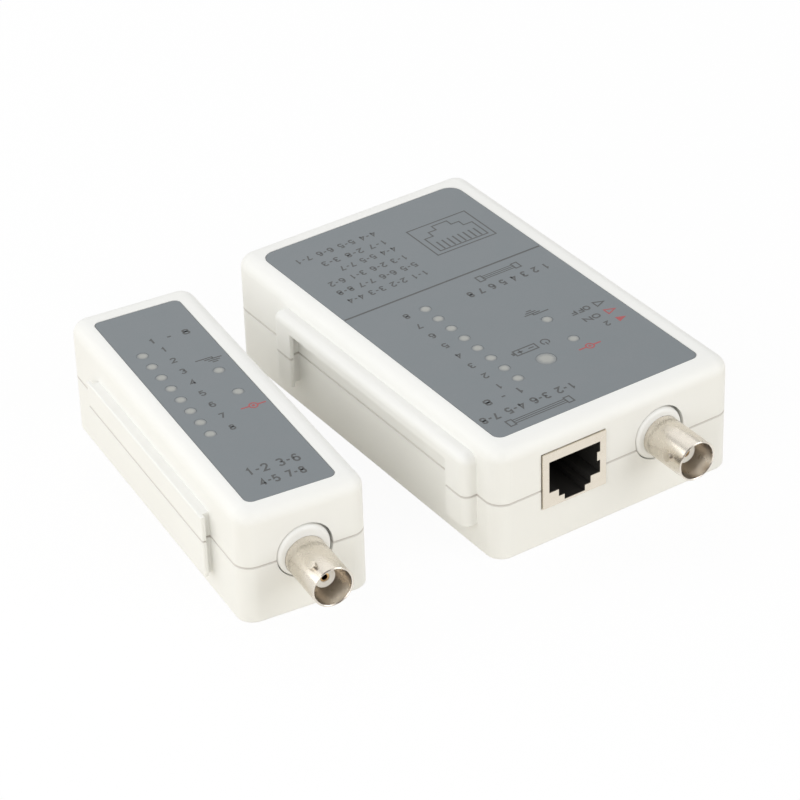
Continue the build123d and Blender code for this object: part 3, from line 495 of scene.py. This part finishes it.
def lettering(words, x, y, height, width=None, flip=-1, weight=plain):
    """Plain figures centred on x and y and height tall, stretched to a width or in their own proportion. Each
    character is a set of ink lines on its grid, and a grid step is rise tall and run wide."""
    span = figure_pitch * (len(words) - 1) + figure_width
    rise = (height - weight) / figure_height
    run = rise if width is None else (width - weight) / span
    paths = [[((figure_pitch * cell + u - span / 2) * run, (v - figure_height / 2) * rise) for u, v in path]
             for cell, letter in enumerate(words) for path in figures[letter]]
    return drawn(x, y, flip, *[along(path, weight) for path in paths])


def drawn(x, y, flip, *shapes):
    """Shapes drawn about 0, 0 and put at x, y; a half turn for flip -1 keeps their winding."""
    return [(vertices * (flip, flip, 1) + (x, y, 0), faces) for vertices, faces in shapes]


def ground_sign(x, y, flip):
    """Lead that drops to three bars, each shorter than the last."""
    return drawn(x, y, flip, along([(-3.1, 1.0), (0.9, 1.0), (0.9, 0.35)]),
                 along([(-1.2, 0.35), (3.0, 0.35)]), along([(-0.5, -0.35), (2.3, -0.35)]),
                 along([(0.2, -1.05), (1.6, -1.05)]))


def coax_sign(x, y, flip):
    """Cable end: a centre conductor in its ring, with the cable going off to both sides."""
    return drawn(x, y, flip, along(arc(0, 0, 0.95), stroke, True), patch(arc(0, 0, 0.38)),
                 along([(-3.0, 0), (-1.1, 0)], stout), along([(1.1, 0), (3.0, 0)], stout))


def power_sign(x, y, flip):
    """Broken ring with a bar in its gap, and a battery beside it with its plus and minus."""
    return drawn(x, y, flip, along(arc(-4.1, -0.1, 1.0, 125, 290)), along([(-4.1, 0.1), (-4.1, 1.25)]),
                 along(rectangle(-1.6, 4.2, -1.0, 1.0), stroke, True), patch(rectangle(4.4, 5.0, -0.5, 0.5)),
                 along([(-0.9, 0), (0.5, 0)]), along([(2.1, 0), (3.5, 0)]), along([(2.8, -0.7), (2.8, 0.7)]))


def wiring_sign(x, y, reach, flip):
    """Two plugs with three wires between them."""
    wires = [along([(1.6 - reach, v), (reach - 1.6, v)], thin) for v in (-0.65, 0, 0.65)]
    return drawn(x, y, flip, along(rectangle(-reach, 1.5 - reach, -1.1, 1.1), stroke, True),
                 along(rectangle(reach - 1.5, reach, -1.1, 1.1), stroke, True), *wires)


def jack_sign():
    """Front of a modular jack: frame, stepped mouth and eight contacts."""
    mouth = [(6.7, 23.7), (20.2, 23.7), (20.2, 30.2), (17.8, 30.2), (17.8, 32.2), (15.6, 32.2), (15.6, 34.1),
             (11.3, 34.1), (11.3, 32.2), (9.1, 32.2), (9.1, 30.2), (6.7, 30.2)]
    contacts = [along([(x, 24.0), (x, 27.6)], stout) for x in np.linspace(8.2, 18.7, 8)]
    return [along(rectangle(5.1, 21.6, 22.4, 35.4), stroke, True), along(mouth, stroke, True), *contacts]


def pointer(x, y):
    """Triangle that points to the switch, counter-clockwise."""
    return [(x - 1.2, y - 1.0), (x + 1.2, y), (x - 1.2, y + 1.0)]


def main_prints():
    """Dark and red printing of the main unit."""
    lines = [(str(pin), -15.9, main_row[1] + lamp_pitch * pin, 2.1) for pin in range(1, 9)]
    lines += [("1 - 8", -17.45, -34.7, 2.4, 10.4, -1, bold),
              ("1-2 3-6 4-5 7-8", -14.75, -40.0, 2.5, 25.1, -1, bold),
              ("1 2 3 4 5 6 7 8", 11.6, 3.7, 2.4, 22.6, -1, bold),
              ("OFF", 16.8, -16.6, 1.9, 5.5), ("ON", 17.25, -20.6, 1.9, 4.4),
              ("2", 18.5, -24.6, 1.9), ("1-1 2-2 3-3 4-4", -12.0, 18.0, 2.1, 22.0),
              ("5-5 6-6 7-7 8-8", -12.0, 22.3, 2.1, 22.0), ("1-3 2-6 3-1 6-2", -11.75, 26.5, 2.1, 21.5),
              ("4-4 5-5 7-7", -8.75, 31.0, 2.1, 15.5), ("1-7 2-8 3-3", -9.9, 35.0, 2.1, 17.8),
              ("4-4 5-5 6-6 7-1", -12.15, 39.5, 2.1, 22.3)]
    dark = sum([lettering(*line) for line in lines], [])
    dark += wiring_sign(-14.5, -44.1, 8.5, -1) + wiring_sign(11.85, 8.0, 5.8, -1)
    dark += ground_sign(8.35, -10.9, -1) + power_sign(-1.3, -22.5, -1) + jack_sign()
    dark += [along([(-28.0, 11.75), (26.3, 11.75)], rule), along(pointer(22.3, -16.6), stroke, True)]
    red = [along(pointer(22.5, -20.6), stroke, True), patch(pointer(22.6, -24.6))] + coax_sign(9.8, -29.7, -1)
    return dark, red


def remote_prints():
    """Dark and red printing of the remote unit, on its own plan."""
    lines = [(str(pin), -1.65, 26.58 - lamp_pitch * pin, 2.1, None, 1) for pin in range(1, 9)]
    lines += [("1 - 8", 1.55, 25.9, 2.2, 10.2, 1, bold), ("1-2 3-6", -0.3, -31.2, 2.9, 12.6, 1, bold),
              ("4-5 7-8", -0.3, -36.0, 2.7, 10.8, 1, bold)]
    dark = sum([lettering(*line) for line in lines], [])
    return dark + ground_sign(5.4, 12.5, 1), coax_sign(5.95, -8.7, 1)


def print_legend(name, body, label, place, ink, shapes):
    """Joins the shapes of one ink, turns them to the unit's place in the frame and lays them on its label."""
    first = np.cumsum([0] + [len(vertices) for vertices, faces in shapes])
    flat = np.vstack([vertices for vertices, faces in shapes])
    faces = [[start + corner for corner in face]
             for start, (_, group) in zip(first, shapes) for face in group]
    flat[:, 2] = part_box(label)[1][2] / MM + ink_foot + flat[:, 2] * (ink_top - ink_foot)
    obj = piece(name, to_frame(flat, place), faces, ink)
    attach(obj, body)


inks = {"dark": legend_ink("legend_ink_dark", "4B4D4D"), "red": legend_ink("legend_ink_red", "A8474A")}
for ink, shapes in zip(inks, main_prints()):
    print_legend("main_legend_" + ink, "main_tester", "main_label", main_place, inks[ink], shapes)
for ink, shapes in zip(inks, remote_prints()):
    print_legend("remote_legend_" + ink, "remote_unit", "remote_label", remote_place, inks[ink], shapes)


# ---------------------------------------------------------------- camera and studio
camera_azimuth = math.radians(-33.294)
camera_elevation = math.radians(33.507)
camera_roll = math.radians(-1.894)
camera_distance = 780.53 * MM
camera_aim = (-18.01 * MM, 2.341 * MM)         # across and up from the origin, in the view plane
camera_lens = 151.88                           # millimetres, on a 36 mm sensor


def make_camera():
    """Camera at its distance from the origin, moved in its own plane by the aim, and rolled."""
    back = Vector((math.sin(camera_azimuth) * math.cos(camera_elevation),
                   -math.cos(camera_azimuth) * math.cos(camera_elevation), math.sin(camera_elevation)))
    level = Vector((math.cos(camera_azimuth), math.sin(camera_azimuth), 0))
    upright = back.cross(level)
    place = level * camera_aim[0] + upright * camera_aim[1] + back * camera_distance
    right = level * math.cos(camera_roll) + upright * math.sin(camera_roll)
    up = upright * math.cos(camera_roll) - level * math.sin(camera_roll)
    data = bpy.data.cameras.new("camera")
    data.lens = camera_lens
    data.sensor_width = 36.0
    data.clip_start = 0.01
    camera = bpy.data.objects.new("camera", data)
    turn = Matrix((right, up, back)).transposed().to_4x4()
    camera.matrix_world = Matrix.Translation(place) @ turn
    bpy.context.scene.collection.objects.link(camera)
    bpy.context.scene.camera = camera


floor_tone = "DAD3C1"
floor_glow = 0.92                              # share of plain white in what the camera and the metal see
floor_half = 3.0                               # half its side, in metres
floor_drop = 0.02 * MM                         # under the cases' flat undersides


def make_floor():
    """Pale warm floor. The camera and the metal see it as white, and it keeps a faint shadow. From below it
    lets the view through, so that the undersides can be looked at."""
    made, tree, shader = material("floor_pale", floor_tone, Roughness=0.9)
    path = add(tree, "LightPath")
    seen = add(tree, "Math", {0: path.outputs["Is Camera Ray"], 1: path.outputs["Is Glossy Ray"]},
               operation="MAXIMUM")
    tone = add(tree, "Mix", {0: seen.outputs[0], 6: tint(floor_tone), 7: (1, 1, 1, 1)}, data_type="RGBA")
    tree.links.new(tone.outputs[2], shader.inputs["Base Color"])
    glow = add(tree, "Emission", {"Color": (1, 1, 1, 1), "Strength": 1.0})
    share = add(tree, "Math", {0: seen.outputs[0], 1: floor_glow}, operation="MULTIPLY")
    blend = add(tree, "MixShader", {0: share.outputs[0], 1: shader.outputs["BSDF"],
                                    2: glow.outputs["Emission"]})
    under = add(tree, "NewGeometry").outputs["Backfacing"]
    below = add(tree, "Math", {0: under, 1: path.outputs["Is Camera Ray"]}, operation="MULTIPLY")
    clear = add(tree, "BsdfTransparent", {"Color": (1, 1, 1, 1)})
    either = add(tree, "MixShader", {0: below.outputs[0], 1: blend.outputs["Shader"],
                                     2: clear.outputs["BSDF"]})
    output = next(n for n in tree.nodes if n.type == "OUTPUT_MATERIAL")
    tree.links.new(either.outputs["Shader"], output.inputs["Surface"])
    corners = [(*corner, 0) for corner in rectangle(-floor_half, floor_half, -floor_half, floor_half)]
    floor = piece("floor", corners, [(0, 1, 2, 3)], made)
    floor.location = (0, 0, -floor_drop)


studio_aim = Vector((-20, 0, 10)) * MM         # the middle of the object, to which the lamps are turned
room_light = 0.61                              # strength of the even room
dim_corner = (-0.458, -0.697, 0.552)           # where the room is unlit, and the metal shows it dark
dim_range = (0.74, 0.88)                       # cosine of the angle from it: dimming begins, and is full


def softbox(name, place, size, power):
    """Square area lamp at a place in millimetres, turned to the object."""
    data = bpy.data.lights.new(name, "AREA")
    data.shape = "SQUARE"
    data.size = size * MM
    data.energy = power
    lamp = bpy.data.objects.new(name, data)
    origin = Vector(place) * MM
    turn = (origin - studio_aim).to_track_quat("Z", "Y").to_matrix().to_4x4()
    lamp.matrix_world = Matrix.Translation(origin) @ turn
    bpy.context.scene.collection.objects.link(lamp)


def make_studio():
    """Four soft lamps in an even white room, in which only reflections see the unlit corner."""
    world = bpy.data.worlds.new("studio")
    world.use_nodes = True
    tree = world.node_tree
    background = tree.nodes["Background"]
    background.inputs["Strength"].default_value = room_light
    toward = add(tree, "TexCoord")
    facing = add(tree, "VectorMath", {0: toward.outputs["Generated"], 1: dim_corner}, operation="DOT_PRODUCT")
    spread = add(tree, "MapRange", {"Value": facing.outputs["Value"], "From Min": dim_range[0],
                                    "From Max": dim_range[1]}, interpolation_type="SMOOTHSTEP")
    mirrored = add(tree, "LightPath").outputs["Is Glossy Ray"]
    shown = add(tree, "Math", {0: spread.outputs["Result"], 1: mirrored}, operation="MULTIPLY")
    tone = add(tree, "Mix", {0: shown.outputs[0], 6: (1, 1, 1, 1), 7: tint("3E251B")}, data_type="RGBA")
    tree.links.new(tone.outputs[2], background.inputs["Color"])
    bpy.context.scene.world = world
    softbox("key", (-750, -350, 400), 600, 2.65)
    softbox("fill", (450, -700, 350), 600, 2.35)
    softbox("back", (200, 750, 570), 900, 1.45)
    softbox("back_left", (-600, 600, 350), 600, 1.6)


make_camera()
make_floor()
make_studio()
bpy.context.scene.view_settings.view_transform = "Standard"
